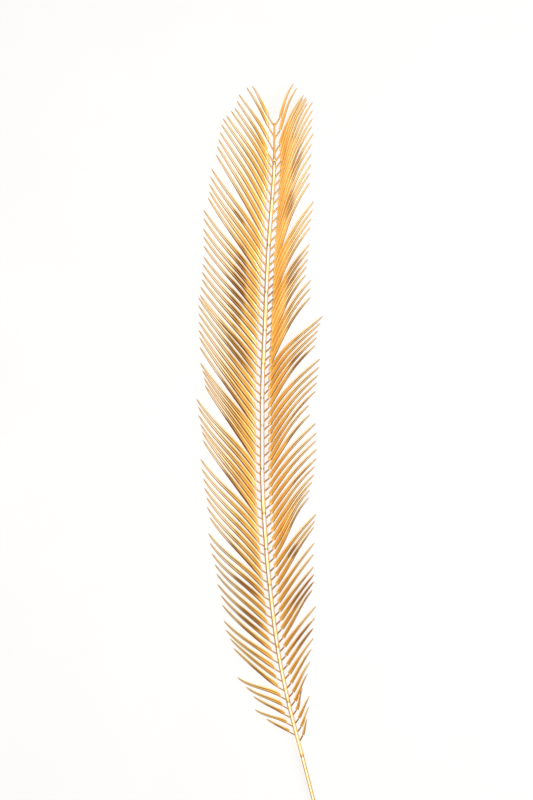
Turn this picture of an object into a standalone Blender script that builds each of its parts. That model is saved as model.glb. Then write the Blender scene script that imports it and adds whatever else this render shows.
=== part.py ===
"""Gold artificial palm frond, lying flat: moulded leaf sections threaded end to end on a wire.

Axes: X across the frond, Y from the stem's cut end to the tip, Z up from the surface it lies on.
The origin is the centre of the bounding box's underside.
Lengths are in millimetres up to the point where a mesh is written, and in metres from there on.
"""

import math
import random

import bmesh
import bpy
from mathutils import Vector

METRES = 0.001

# Stem line, from the cut end (Y 0) to the fork at the tip: its X and its height, each against Y
STEM_X = ((0, 77), (100, 51.5), (143, 40.5), (197, 26.7), (252, 15.8), (315, 7.8), (350, 4.5),
          (431, 0.4), (499, 0.4), (569, 2.9), (654, 6.8), (700, 10.3), (736, 12.4), (777, 12.5))
STEM_Z = ((0, 1.76), (60, 1.76), (100, 2.1), (143, 3.2), (200, 5.4), (300, 9.6), (420, 12.5),
          (560, 13.2), (690, 11.5), (777, 9.5))

# Sleeves: the Y of each joint between two sleeves, the leaflet pairs on each, and the outer radii
JOINTS = (142.7, 197.3, 252.4, 314.7, 350.4, 386.1, 430.8, 474.1, 501.4, 535.3, 568.6, 607.0,
          653.8, 700.4, 735.6)
PAIRS = (5, 6, 7, 4, 4, 5, 5, 3, 4, 4, 5, 6, 5, 4)
FORK_Y = 776.5
BARE_START = 11.2
FIRST_PAIR = 0.6
TIP_ROOTS = (4.0, 12.0, 26.5, 39.3)
STEM_RADIUS = 1.9
SLEEVE_RADIUS = ((143, 2.3), (430, 2.5), (650, 2.3), (736, 2.0))
TIP_RADII = ((0.15, 1.75), (0.5, 2.05), (4.5, 2.0), (6.5, 1.15), (27, 0.85), (40.9, 0.7))
JOINT_GAP = 0.3
END_CHAMFER = 0.35
SIDES = 8

# Core wire and the bore that runs over it
WIRE_RADIUS = 0.8
BORE_RADIUS = 1.2
WIRE_IN_TIP = 3.6
SOCKET_DEPTH = 4.0

# Small round hole in the top of the tip's knob, down to the socket
HOLE_RISE = 2.6
HOLE_RADIUS = 0.5

# Tufts of leaflets whose tips gather, from the stem up: how many leaflets, then how far out from the
# stem and how far along it the tip of the lowest and of the topmost one reaches past its root
RIGHT_TUFTS = (
    (2, (9, 21), (14, 25)), (1, (16, 27), (16, 27)), (1, (12, 26), (12, 26)),
    (2, (19, 31), (23, 35)), (5, (27, 38), (38, 45)), (3, (36, 53), (40, 50)),
    (3, (41, 49), (44, 55)), (3, (45, 62), (49, 57)), (5, (42, 64), (51, 60)),
    (5, (53, 60), (54, 58)), (2, (48, 59), (47, 59)), (5, (54, 65), (58, 62)), (5, (53, 66), (60, 61)),
    (3, (48, 71), (47, 72)), (5, (42, 69), (45, 68)), (4, (45, 77), (47, 80)), (6, (43, 91), (44, 99)),
    (4, (42, 97), (40, 93)), (3, (35, 84), (33, 72)), (2, (29, 63), (29, 58)), (2, (23, 51), (19, 42)))
LEFT_TUFTS = (
    (2, (30, 15), (39, 16)), (3, (38, 20), (50, 22)), (4, (53, 42), (57, 41)), (8, (56, 48), (62, 57)),
    (7, (60, 64), (65, 69)), (6, (61, 79), (66, 75)), (4, (57, 80), (62, 76)), (7, (63, 84), (65, 80)),
    (6, (63, 74), (62, 71)), (5, (62, 74), (63, 79)), (5, (59, 83), (57, 81)), (5, (53, 87), (51, 80)),
    (4, (50, 76), (40, 61)), (2, (38, 60), (35, 56)), (2, (28, 49), (22, 40)))

# Directions in degrees from +Y, turning outwards: the stalk against the stem's own line, and the
# blade where it starts and where it ends
RIGHT_STALK_ANGLE = ((156, 42), (170, 50), (230, 53), (415, 52), (500, 46), (560, 45), (650, 42),
                     (735, 33), (777, 33))
LEFT_STALK_ANGLE = ((150, 47), (230, 49), (320, 56), (415, 56), (500, 52), (650, 45), (731, 38),
                    (745, 29), (777, 33))
RIGHT_START = ((150, 21), (210, 32), (300, 34), (430, 32), (500, 27), (560, 21), (650, 13), (720, 16),
               (777, 17))
RIGHT_END = ((150, 30), (210, 42), (300, 41), (350, 48), (480, 50), (560, 44), (650, 37), (720, 36),
             (777, 36))
LEFT_START = ((160, 58), (200, 55), (250, 50), (300, 40), (350, 36), (430, 33), (500, 37), (600, 35),
              (660, 28), (723, 24), (765, 26), (777, 30))
LEFT_END = ((160, 62), (200, 50), (250, 40), (300, 36), (430, 34), (550, 36), (640, 32), (723, 36),
            (777, 34))
START_PULL = 0.36
END_PULL = 0.34

# Leaflet sizes: stalk, blade outline along its length, and blade roll that lifts the inner edge.
# The stalk runs on into the blade's lower edge: the offset is that of the blade's middle from the
# stalk's line, in half widths.
LEFT_STALK = ((150, 5.2), (250, 4.6), (330, 4.2), (500, 4.2), (731, 4.8), (739, 9.8), (777, 9.4))
RIGHT_STALK = ((150, 5.4), (230, 4.9), (415, 5.2), (500, 5.5), (560, 6.4), (650, 7.8), (777, 8.4))
STALK_SUNK = 1.1
STALK_RADIUS = 0.65
LEFT_STAGGER = ((150, 2.2), (430, 0.9), (600, 0.0), (740, 0.0), (749, -2.5), (762, -2.5), (775, 0.0))
BLADE_WIDTH = ((155, 3.6), (200, 4.6), (300, 5.4), (430, 5.6), (640, 5.2), (740, 4.4), (777, 3.6))
LEFT_OUTLINE = ((0.0, 0.27), (0.06, 0.68), (0.1, 0.88), (0.16, 1.0), (0.45, 0.96), (0.7, 0.8),
                (0.9, 0.52), (1.0, 0.13))
RIGHT_OUTLINE = ((0.0, 0.27), (0.05, 0.86), (0.13, 1.0), (0.4, 0.94), (0.7, 0.76), (0.9, 0.5),
                 (1.0, 0.13))
LEFT_OFFSET = ((0.0, 0.0), (0.06, 0.45), (0.5, 0.25), (1.0, 0.0))
RIGHT_OFFSET = ((0.0, 0.0), (0.06, 0.1), (0.5, 0.1), (1.0, 0.0))
THICKNESS = ((0.0, 1.3), (0.06, 1.2), (0.6, 1.05), (1.0, 0.7))
LEFT_ROLL = ((0.0, 0), (0.08, 20), (0.45, 38), (1.0, 30))
RIGHT_ROLL = ((0.0, 0), (0.08, 42), (0.5, 44), (1.0, 32))
BLADE_STATIONS = (0.0, 0.06, 0.25, 0.45, 0.65, 0.85, 1.0)
ARCH = 3.2
TIP_HEIGHT = 0.31
TIP_SPREAD = 3.4
TIPS_DOWN = 0.6

SEED = 12
TIP_JITTER = 0.7
ROLL_JITTER = 4.0

GOLD = (0.83, 0.52, 0.19, 1.0)
STEEL = (0.42, 0.41, 0.40, 1.0)


def along(knots, at):
    """The value at a place on the smooth curve through the knots, which never overshoots them."""
    at = min(max(at, knots[0][0]), knots[-1][0])
    steps = [(b[1] - a[1]) / (b[0] - a[0]) for a, b in zip(knots, knots[1:])]
    slopes = [steps[0]]
    for before, after in zip(steps, steps[1:]):
        same_way = before * after > 0
        slopes.append(2 * before * after / (before + after) if same_way else 0.0)
    slopes.append(steps[-1])
    i = next(k for k in range(len(steps)) if at <= knots[k + 1][0])
    (x0, v0), (x1, v1) = knots[i], knots[i + 1]
    length = x1 - x0
    t = (at - x0) / length
    return (v0 * (1 + 2 * t) * (1 - t) ** 2 + v1 * t * t * (3 - 2 * t)
            + length * (slopes[i] * t * (1 - t) ** 2 - slopes[i + 1] * t * t * (1 - t)))


def stem_point(y):
    return Vector((along(STEM_X, y), y, along(STEM_Z, y)))


def stem_direction(y):
    return (stem_point(min(y + 1, FORK_Y)) - stem_point(max(y - 1, 0))).normalized()


def heading(degrees, side):
    """A level unit vector turned that far outwards from +Y, to side 1 (right) or -1 (left)."""
    angle = math.radians(degrees)
    return Vector((side * math.sin(angle), math.cos(angle), 0))


def section_ends():
    """The Y of the two ends of each sleeve with leaflets, from the stem up."""
    return list(zip(JOINTS, JOINTS[1:]))


def pair_roots():
    """For each leafy section, the tip last, the Y of its leaflet pairs from the stem up."""
    roots = []
    for number, ((low, high), pairs) in enumerate(zip(section_ends(), PAIRS)):
        start = low + BARE_START if number == 0 else low
        pitch = (high - start) / pairs
        roots.append([start + pitch * (i + FIRST_PAIR) for i in range(pairs)])
    roots.append([JOINTS[-1] + rise for rise in TIP_ROOTS])
    return roots


def tip_reaches(tufts):
    """How far out and along each leaflet of one side reaches, from the stem up."""
    reaches = []
    for count, lowest, topmost in tufts:
        for i in range(count):
            share = i / max(1, count - 1)
            reaches.append([a + (b - a) * share for a, b in zip(lowest, topmost)])
    return reaches


def leaflets():
    """Every leaflet as a dict: its section, side, root Y, tip point, width and roll offset."""
    draw = random.Random(SEED)
    found = []
    for side, tufts in ((1, RIGHT_TUFTS), (-1, LEFT_TUFTS)):
        roots = [(section, y) for section, ys in enumerate(pair_roots()) for y in ys]
        if side < 0:
            roots = roots[1:]
        for (section, y), (out, rise) in zip(roots, tip_reaches(tufts)):
            root_y = y - (along(LEFT_STAGGER, y) if side < 0 else 0)
            axis = stem_point(root_y)
            tip = Vector((axis.x + side * (out + draw.uniform(-TIP_JITTER, TIP_JITTER)),
                          root_y + rise + draw.uniform(-TIP_JITTER, TIP_JITTER),
                          TIP_HEIGHT + max(0, draw.uniform(-TIPS_DOWN, TIP_SPREAD))))
            found.append({"section": section, "side": side, "y": root_y, "tip": tip,
                          "width": along(BLADE_WIDTH, y),
                          "roll": draw.uniform(-ROLL_JITTER, ROLL_JITTER)})
    return found


def bezier(points, t):
    a, b, c, d = points
    return a * (1 - t) ** 3 + b * 3 * t * (1 - t) ** 2 + c * 3 * t * t * (1 - t) + d * t ** 3


def leaflet_rings(leaf):
    """The leaflet's four-cornered rings, from the root sunk in the sleeve to the tip."""
    side, y = leaf["side"], leaf["y"]
    axis = stem_point(y)
    direction = stem_direction(y)
    lean = math.degrees(math.atan2(side * direction.x, direction.y))
    stalk_angle = along(RIGHT_STALK_ANGLE if side > 0 else LEFT_STALK_ANGLE, y)
    stalk_way = heading(stalk_angle + lean, side)
    stalk_way.z = direction.z
    in_tip = y > JOINTS[-1] + TIP_RADII[3][0]
    surface = 0.9 if in_tip else along(SLEEVE_RADIUS, y)
    outwards = Vector((direction.y, -direction.x, 0)).normalized() * side
    foot = axis + outwards * surface
    root = foot - stalk_way * STALK_SUNK
    shoulder = foot + stalk_way * along(RIGHT_STALK if side > 0 else LEFT_STALK, y)
    tip = leaf["tip"]
    reach = (tip - shoulder).length
    start = heading(along(RIGHT_START if side > 0 else LEFT_START, y), side)
    end = heading(along(RIGHT_END if side > 0 else LEFT_END, y), side)
    curve = (shoulder, shoulder + start * reach * START_PULL, tip - end * reach * END_PULL, tip)

    def blade_point(t):
        place = bezier(curve, t)
        place.z = shoulder.z + (tip.z - shoulder.z) * t + ARCH * math.sin(math.pi * t)
        return place

    rings = [ring_at(root, stalk_way, side, 2 * STALK_RADIUS, 2 * STALK_RADIUS, 0)]
    roll_curve = RIGHT_ROLL if side > 0 else LEFT_ROLL
    offset_curve = RIGHT_OFFSET if side > 0 else LEFT_OFFSET
    outline = RIGHT_OUTLINE if side > 0 else LEFT_OUTLINE
    for t in BLADE_STATIONS:
        ahead = blade_point(min(1, t + 0.02)) - blade_point(max(0, t - 0.02))
        width = leaf["width"] * along(outline, t)
        roll = along(roll_curve, t) + (leaf["roll"] if t > 0 else 0)
        if t == 0:
            ahead = ahead.normalized() + stalk_way.normalized()
            width = 2 * STALK_RADIUS
        rings.append(ring_at(blade_point(t), ahead, side, width, along(THICKNESS, t), roll,
                             along(offset_curve, t)))
    return rings


def ring_at(centre, ahead, side, width, thickness, roll, offset=0):
    """Inner edge, ridge, outer edge and keel of a blade that heads ahead and is rolled about it."""
    ahead = ahead.normalized()
    inner = Vector((-side * ahead.y, side * ahead.x, 0)).normalized()
    up = inner.cross(ahead) * side
    up = up if up.z > 0 else -up
    angle = math.radians(roll)
    across = inner * math.cos(angle) + up * math.sin(angle)
    face = up * math.cos(angle) - inner * math.sin(angle)
    centre = centre + across * (offset * width / 2)
    return [centre + across * width / 2, centre + face * thickness / 2,
            centre - across * width / 2, centre - face * thickness / 2]


def tube_rings(stations, sides=SIDES):
    """Rings round the stem line, one for each (Y, radius), with a flat of the polygon downwards."""
    rings = []
    for y, radius in stations:
        centre = stem_point(y) if y >= 0 else stem_point(0) + stem_direction(0) * y
        ahead = stem_direction(max(y, 0))
        across = Vector((ahead.y, -ahead.x, 0)).normalized()
        up = across.cross(ahead)
        ring = []
        for k in range(sides):
            angle = 2 * math.pi * (k + 0.5) / sides
            ring.append(centre + (across * math.cos(angle) + up * math.sin(angle)) * radius)
        rings.append(ring)
    return rings


def solid(name, rings):
    """A closed object in metres through a list of rings with equal numbers of points."""
    mesh = bmesh.new()
    rows = [[mesh.verts.new(point * METRES) for point in ring] for ring in rings]
    for row, next_row in zip(rows, rows[1:]):
        for k in range(len(row)):
            after = (k + 1) % len(row)
            mesh.faces.new((row[k], row[after], next_row[after], next_row[k]))
    mesh.faces.new(rows[0])
    mesh.faces.new(rows[-1])
    bmesh.ops.recalc_face_normals(mesh, faces=mesh.faces)
    data = bpy.data.meshes.new(name)
    mesh.to_mesh(data)
    mesh.free()
    return bpy.data.objects.new(name, data)


def sleeve_stations(low, high, radius_at, middles):
    """(Y, radius) along one sleeve, with a chamfer at both ends and so many rings between."""
    low, high = low + JOINT_GAP / 2, high - JOINT_GAP / 2
    stations = [(low, radius_at(low) - END_CHAMFER), (low + END_CHAMFER, radius_at(low))]
    for i in range(1, middles + 1):
        y = low + (high - low) * i / (middles + 1)
        stations.append((y, radius_at(y)))
    stations += [(high - END_CHAMFER, radius_at(high)), (high, radius_at(high) - END_CHAMFER)]
    return stations


def bore_cutter(low, high, middles):
    """A tube that clears the wire along one sleeve and runs past its open ends."""
    stations = [(low + (high - low) * i / (middles + 1), BORE_RADIUS) for i in range(middles + 2)]
    return solid("bore", tube_rings(stations))


def baked(obj):
    """Replaces an object's mesh by what its modifiers make of it."""
    bpy.context.view_layer.update()
    graph = bpy.context.evaluated_depsgraph_get()
    obj.data = bpy.data.meshes.new_from_object(obj.evaluated_get(graph))
    obj.modifiers.clear()


def join_and_bore(body, leaves, cutter):
    """Fuses the leaflets to the sleeve, then runs the bore through it."""
    bpy.context.scene.collection.objects.link(body)
    if leaves:
        group = bpy.data.collections.new("leaflets of " + body.name)
        bpy.context.scene.collection.children.link(group)
        for leaf in leaves:
            group.objects.link(leaf)
        union = body.modifiers.new("leaflets", "BOOLEAN")
        union.operation = "UNION"
        union.operand_type = "COLLECTION"
        union.collection = group
        union.solver = "EXACT"
        baked(body)
        for leaf in leaves:
            bpy.data.objects.remove(leaf)
        bpy.data.collections.remove(group)
    bpy.context.scene.collection.objects.link(cutter)
    cut = body.modifiers.new("bore", "BOOLEAN")
    cut.operation = "DIFFERENCE"
    cut.object = cutter
    cut.solver = "EXACT"
    baked(body)
    bpy.data.objects.remove(cutter)
    return body


def drilled(body, place):
    """Cuts the small round hole, straight down into the body from above as far as the place."""
    rings = []
    for rise in (0, 5):
        angles = [2 * math.pi * (k + 0.5) / SIDES for k in range(SIDES)]
        rings.append([place + Vector((HOLE_RADIUS * math.cos(a), HOLE_RADIUS * math.sin(a), rise))
                      for a in angles])
    cutter = solid("hole", rings)
    bpy.context.scene.collection.objects.link(cutter)
    cut = body.modifiers.new("hole", "BOOLEAN")
    cut.operation = "DIFFERENCE"
    cut.object = cutter
    cut.solver = "EXACT"
    baked(body)
    bpy.data.objects.remove(cutter)
    return body


def material(name, colour, roughness, metallic):
    made = bpy.data.materials.new(name)
    made.use_nodes = True
    shader = made.node_tree.nodes["Principled BSDF"]
    shader.inputs["Base Color"].default_value = colour
    shader.inputs["Roughness"].default_value = roughness
    shader.inputs["Metallic"].default_value = metallic
    return made


def make_stem_sleeve():
    high = JOINTS[0] - JOINT_GAP / 2
    stations = [(0, STEM_RADIUS), (60, STEM_RADIUS), (100, STEM_RADIUS),
                (high - END_CHAMFER, STEM_RADIUS), (high, STEM_RADIUS - END_CHAMFER)]
    body = solid("stem_sleeve", tube_rings(stations))
    bore = [(-1, BORE_RADIUS), (60, BORE_RADIUS), (100, BORE_RADIUS), (JOINTS[0] + 1, BORE_RADIUS)]
    return join_and_bore(body, [], solid("bore", tube_rings(bore)))


def make_leafy_sections(all_leaves):
    made = []
    for number, (low, high) in enumerate(section_ends()):
        name = f"leaf_section_{number + 1:02d}"
        stations = sleeve_stations(low, high, lambda y: along(SLEEVE_RADIUS, y), 2)
        leaves = [solid("leaflet", leaflet_rings(leaf))
                  for leaf in all_leaves if leaf["section"] == number]
        body = solid(name, tube_rings(stations))
        made.append(join_and_bore(body, leaves, bore_cutter(low - 1, high + 1, 2)))
    return made


def make_tip_section(all_leaves):
    stations = [(JOINTS[-1] + rise, radius) for rise, radius in TIP_RADII]
    leaves = [solid("leaflet", leaflet_rings(leaf))
              for leaf in all_leaves if leaf["section"] == len(PAIRS)]
    body = solid("tip_section", tube_rings(stations))
    tip = join_and_bore(body, leaves, bore_cutter(JOINTS[-1] - 1, JOINTS[-1] + SOCKET_DEPTH, 0))
    return drilled(tip, stem_point(JOINTS[-1] + HOLE_RISE))


def make_core_wire():
    bends = [low + (high - low) * i / 3 for low, high in section_ends() for i in range(3)]
    ends = [0, 60, 100] + bends + [JOINTS[-1], JOINTS[-1] + WIRE_IN_TIP]
    stations = [(y, WIRE_RADIUS) for y in ends]
    wire = solid("core_wire", tube_rings(stations))
    bpy.context.scene.collection.objects.link(wire)
    return wire


def centre_on_box(objects):
    """Moves every mesh so that the origin is the middle of the bounding box's underside."""
    points = [vertex.co for obj in objects for vertex in obj.data.vertices]
    low = [min(p[k] for p in points) for k in range(3)]
    high = [max(p[k] for p in points) for k in range(3)]
    shift = Vector((-(low[0] + high[0]) / 2, -(low[1] + high[1]) / 2, -low[2]))
    for obj in objects:
        for vertex in obj.data.vertices:
            vertex.co += shift
    return shift


def main():
    for obj in list(bpy.data.objects):
        bpy.data.objects.remove(obj)
    gold = material("gold_paint", GOLD, 0.32, 0.9)
    steel = material("wire_steel", STEEL, 0.4, 1.0)
    all_leaves = leaflets()
    plastic = [make_stem_sleeve()] + make_leafy_sections(all_leaves) + [make_tip_section(all_leaves)]
    wire = make_core_wire()
    for obj in plastic:
        obj.data.materials.clear()
        obj.data.materials.append(gold)
    wire.data.materials.append(steel)
    centre_on_box(plastic + [wire])


main()
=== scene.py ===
"""Looks of the gold artificial palm frond: finer moulded sections, metallised gold, soft light.

The stem line and the leaflet rules are those of the solids. Lengths are in millimetres up to the
point where a mesh is written, and in metres from there on.
"""

import math
import random

import bmesh
import bpy
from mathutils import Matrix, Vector


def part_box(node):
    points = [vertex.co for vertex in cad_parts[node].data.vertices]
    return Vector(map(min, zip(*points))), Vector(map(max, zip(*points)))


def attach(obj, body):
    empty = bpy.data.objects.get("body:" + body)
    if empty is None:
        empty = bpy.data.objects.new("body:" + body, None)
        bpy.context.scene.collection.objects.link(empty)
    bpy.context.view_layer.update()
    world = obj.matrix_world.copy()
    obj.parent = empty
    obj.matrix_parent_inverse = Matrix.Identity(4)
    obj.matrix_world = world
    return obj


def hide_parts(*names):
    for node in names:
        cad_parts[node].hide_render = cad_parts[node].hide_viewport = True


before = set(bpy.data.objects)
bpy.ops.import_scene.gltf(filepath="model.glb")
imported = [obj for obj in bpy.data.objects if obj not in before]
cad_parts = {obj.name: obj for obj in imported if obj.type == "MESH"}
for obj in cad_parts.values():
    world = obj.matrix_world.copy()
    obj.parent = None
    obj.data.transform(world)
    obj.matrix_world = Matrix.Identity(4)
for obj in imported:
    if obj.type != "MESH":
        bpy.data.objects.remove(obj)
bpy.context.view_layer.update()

METRES = 0.001

# Stem line, from the cut end (Y 0) to the fork at the tip: its X and its height, each against Y
STEM_X = ((0, 77), (100, 51.5), (143, 40.5), (197, 26.7), (252, 15.8), (315, 7.8), (350, 4.5),
          (431, 0.4), (499, 0.4), (569, 2.9), (654, 6.8), (700, 10.3), (736, 12.4), (777, 12.5))
STEM_Z = ((0, 1.76), (60, 1.76), (100, 2.1), (143, 3.2), (200, 5.4), (300, 9.6), (420, 12.5),
          (560, 13.2), (690, 11.5), (777, 9.5))

# Sleeves: the Y of each joint between two sleeves, the leaflet pairs on each, and the outer radii
JOINTS = (142.7, 197.3, 252.4, 314.7, 350.4, 386.1, 430.8, 474.1, 501.4, 535.3, 568.6, 607.0,
          653.8, 700.4, 735.6)
PAIRS = (5, 6, 7, 4, 4, 5, 5, 3, 4, 4, 5, 6, 5, 4)
FORK_Y = 776.5
BARE_START = 11.2
FIRST_PAIR = 0.6
TIP_ROOTS = (4.0, 12.0, 26.5, 39.3)
STEM_RADIUS = 1.9
SLEEVE_RADIUS = ((143, 2.3), (430, 2.5), (650, 2.3), (736, 2.0))
TIP_RADII = ((0.15, 1.75), (0.5, 2.05), (4.5, 2.0), (6.5, 1.15), (27, 0.85), (40.9, 0.7))
JOINT_GAP = 0.3
END_CHAMFER = 0.35
WIRE_RADIUS = 0.8
WIRE_SIDES = 8
BORE_RADIUS = 1.2
SOCKET_DEPTH = 4.0
HOLE_RISE = 2.6
HOLE_RADIUS = 0.5

# Tufts of leaflets whose tips gather, from the stem up: how many leaflets, then how far out from
# the stem and how far along it the tip of the lowest and of the topmost one reaches past its root
RIGHT_TUFTS = (
    (2, (9, 21), (14, 25)), (1, (16, 27), (16, 27)), (1, (12, 26), (12, 26)),
    (2, (19, 31), (23, 35)), (5, (27, 38), (38, 45)), (3, (36, 53), (40, 50)),
    (3, (41, 49), (44, 55)), (3, (45, 62), (49, 57)), (5, (42, 64), (51, 60)),
    (5, (53, 60), (54, 58)), (2, (48, 59), (47, 59)), (5, (54, 65), (58, 62)),
    (5, (53, 66), (60, 61)), (3, (48, 71), (47, 72)), (5, (42, 69), (45, 68)),
    (4, (45, 77), (47, 80)), (6, (43, 91), (44, 99)), (4, (42, 97), (40, 93)),
    (3, (35, 84), (33, 72)), (2, (29, 63), (29, 58)), (2, (23, 51), (19, 42)))
LEFT_TUFTS = (
    (2, (30, 15), (39, 16)), (3, (38, 20), (50, 22)), (4, (53, 42), (57, 41)),
    (8, (56, 48), (62, 57)), (7, (60, 64), (65, 69)), (6, (61, 79), (66, 75)),
    (4, (57, 80), (62, 76)), (7, (63, 84), (65, 80)), (6, (63, 74), (62, 71)),
    (5, (62, 74), (63, 79)), (5, (59, 83), (57, 81)), (5, (53, 87), (51, 80)),
    (4, (50, 76), (40, 61)), (2, (38, 60), (35, 56)), (2, (28, 49), (22, 40)))

# Directions in degrees from +Y, turning outwards: the stalk against the stem's own line, and the
# blade where it starts and where it ends
RIGHT_STALK_ANGLE = ((156, 42), (170, 50), (230, 53), (415, 52), (500, 46), (560, 45), (650, 42),
                     (735, 33), (777, 33))
LEFT_STALK_ANGLE = ((150, 47), (230, 49), (320, 56), (415, 56), (500, 52), (650, 45), (731, 38),
                    (745, 29), (777, 33))
RIGHT_START = ((150, 21), (210, 32), (300, 34), (430, 32), (500, 27), (560, 21), (650, 13),
               (720, 16), (777, 17))
RIGHT_END = ((150, 30), (210, 42), (300, 41), (350, 48), (480, 50), (560, 44), (650, 37), (720, 36),
             (777, 36))
LEFT_START = ((160, 58), (200, 55), (250, 50), (300, 40), (350, 36), (430, 33), (500, 37),
              (600, 35), (660, 28), (723, 24), (765, 26), (777, 30))
LEFT_END = ((160, 62), (200, 50), (250, 40), (300, 36), (430, 34), (550, 36), (640, 32), (723, 36),
            (777, 34))
START_PULL = 0.36
END_PULL = 0.34

# Leaflet sizes: stalk, blade outline along its length, and blade roll that lifts the inner edge.
# The stalk runs on into the blade's lower edge: the offset is that of the blade's middle from the
# stalk's line, in half widths.
LEFT_STALK = ((150, 5.2), (250, 4.6), (330, 4.2), (500, 4.2), (731, 4.8), (739, 9.8), (777, 9.4))
RIGHT_STALK = ((150, 5.4), (230, 4.9), (415, 5.2), (500, 5.5), (560, 6.4), (650, 7.8), (777, 8.4))
STALK_SUNK = 1.1
STALK_RADIUS = 0.65
LEFT_STAGGER = ((150, 2.2), (430, 0.9), (600, 0.0), (740, 0.0), (749, -2.5), (762, -2.5),
                (775, 0.0))
BLADE_WIDTH = ((155, 3.6), (200, 4.6), (300, 5.4), (430, 5.6), (640, 5.2), (740, 4.4), (777, 3.6))
LEFT_OUTLINE = ((0.0, 0.2), (0.012, 0.3), (0.06, 0.7), (0.1, 0.88), (0.16, 1.0), (0.45, 0.96),
                (0.7, 0.8), (0.9, 0.52), (0.97, 0.28), (1.0, 0.04))
RIGHT_OUTLINE = ((0.0, 0.22), (0.012, 0.28), (0.03, 0.78), (0.045, 0.87), (0.13, 1.0), (0.4, 0.94),
                 (0.7, 0.76), (0.9, 0.5), (0.97, 0.27), (1.0, 0.04))
LEFT_OFFSET = ((0.0, 0.0), (0.012, 0.0), (0.05, 0.45), (0.5, 0.25), (1.0, 0.0))
RIGHT_OFFSET = ((0.0, 0.0), (0.06, 0.1), (0.5, 0.1), (1.0, 0.0))
THICKNESS = ((0.0, 1.25), (0.06, 1.2), (0.6, 1.05), (1.0, 0.5))
LEFT_ROLL = ((0.0, 0), (0.08, 20), (0.45, 38), (1.0, 30))
RIGHT_ROLL = ((0.0, 0), (0.08, 42), (0.5, 44), (1.0, 32))
SHAPES = {
    1: {"stalk": RIGHT_STALK, "stalk_angle": RIGHT_STALK_ANGLE, "start": RIGHT_START,
        "end": RIGHT_END, "outline": RIGHT_OUTLINE, "offset": RIGHT_OFFSET, "roll": RIGHT_ROLL},
    -1: {"stalk": LEFT_STALK, "stalk_angle": LEFT_STALK_ANGLE, "start": LEFT_START,
         "end": LEFT_END, "outline": LEFT_OUTLINE, "offset": LEFT_OFFSET, "roll": LEFT_ROLL}}
TIP_STEM_SURFACE = 0.9
ARCH = 3.2
TIP_HEIGHT = 0.31
TIP_SPREAD = 3.4
TIPS_DOWN = 0.6

SEED = 12
TIP_JITTER = 0.7
ROLL_JITTER = 4.0

# Finer form of a blade: how many rings it has, and the height of ribs and grooves across its two
# faces, as a share of the half thickness, from the outer edge (-1) to the inner edge (1)
BLADE_RINGS = 44
BLADE_END = 0.996
SHOULDER_PLACES = (0.0, 0.006, 0.012, 0.02, 0.028, 0.036, 0.045, 0.056, 0.07)
CLOSER_TO_TIP = 1.15
UPPER_SIDE = ((-1.0, 0.0), (-0.9, 0.2), (-0.72, 0.46), (-0.5, 0.66), (-0.3, 0.7), (-0.12, 0.58),
              (0.02, 0.42), (0.12, 0.34), (0.22, 0.42), (0.38, 0.6), (0.55, 0.6), (0.72, 0.44),
              (0.88, 0.2), (1.0, 0.0))
LOWER_SIDE = ((0.84, -0.3), (0.62, -0.42), (0.4, -0.36), (0.2, -0.6), (0.0, -0.9), (-0.2, -0.6),
              (-0.4, -0.36), (-0.62, -0.42), (-0.84, -0.3))
SHARE_OF_THICKNESS = 0.95
SETTLED_AT = 0.06
ROUND_UNTIL = 0.03
TWIST = 7.0
TWISTS = 0.9
TWIST_SHIFT = 1.7
WAVER = 0.25
WAVES = 1.3
SHARP_FROM = 50

# Finer form of a stalk: its rings, its share of the solid's radius, and how it widens at its root
STALK_PLACES = (0.0, 0.35, 0.6, 0.8, 0.93)
STALK_SLIMMED = {1: 1.0, -1: 0.85}
STALK_FLARE = 0.3
FLARE_END = 0.45

# Finer form of the sleeves: sides, how far the round ones stay inside the solids' corners, how much
# slimmer they are in the middle, and the bare stem's drawn lines
SLEEVE_SIDES = 40
ROUNDED = 0.87
STEM_ROUNDED = 0.905
SLEEVE_WAIST = 0.06
RIM_LAND = 0.25
STEM_LINES = 9
STEM_LINE_HEIGHT = 0.03
TIP_RISES = (0.15, 0.22, 0.35, 0.5, 1.2, 2.6, 3.8, 4.5, 5.2, 5.9, 6.5, 10, 14, 18, 22, 27, 31, 35,
             39, 40.9)
SLIM_RISE = 5.8
DRILL_SIDES = 24
DRILL_REACH = 5

# Marks that each point carries for the materials. A leaflet's first mark runs from 0 at its
# shoulder to 1 at its tip, and is below 0 on its stalk. The sleeves' first and third are fixed.
LABELS = ("leaf_along", "leaf_across", "leaf_tone", "leaf_side", "leaf_lowest")
STALK_SHARE = 0.1
SLEEVE_MARK = -0.5
RIM_MARK = -0.75
RIM_RINGS = 5
SLEEVE_TONE = 0.5
BARE_TONE = 0.2
SLIM_TONE = 0.0

# Patches of painted dark reflection and shade that neighbouring leaflets share: each centre in the
# stem line's X and Y, how far it reaches along and across, its direction in degrees from +Y towards
# +X, and how strong it is
DARK_REFLECTION_PATCHES = ((-23, 612, 44, 8, 4, 0.6), (-25, 549, 20, 8, -30, 0.6), (-23, 683, 9, 4, -35, 0.55),
           (-16, 315, 17, 6, -50, 0.9), (-12, 282, 16, 8, -42, 0.9), (35, 738, 18, 4, 15, 0.5),
           (27, 694, 16, 4, 15, 0.5), (43, 309, 22, 6, 38, 1.0), (43, 265, 16, 6, 35, 1.0),
           (36, 540, 12, 5, 45, 0.9), (31, 349, 8, 5, 30, 0.8), (32, 630, 18, 5, 20, 0.5))


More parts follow.
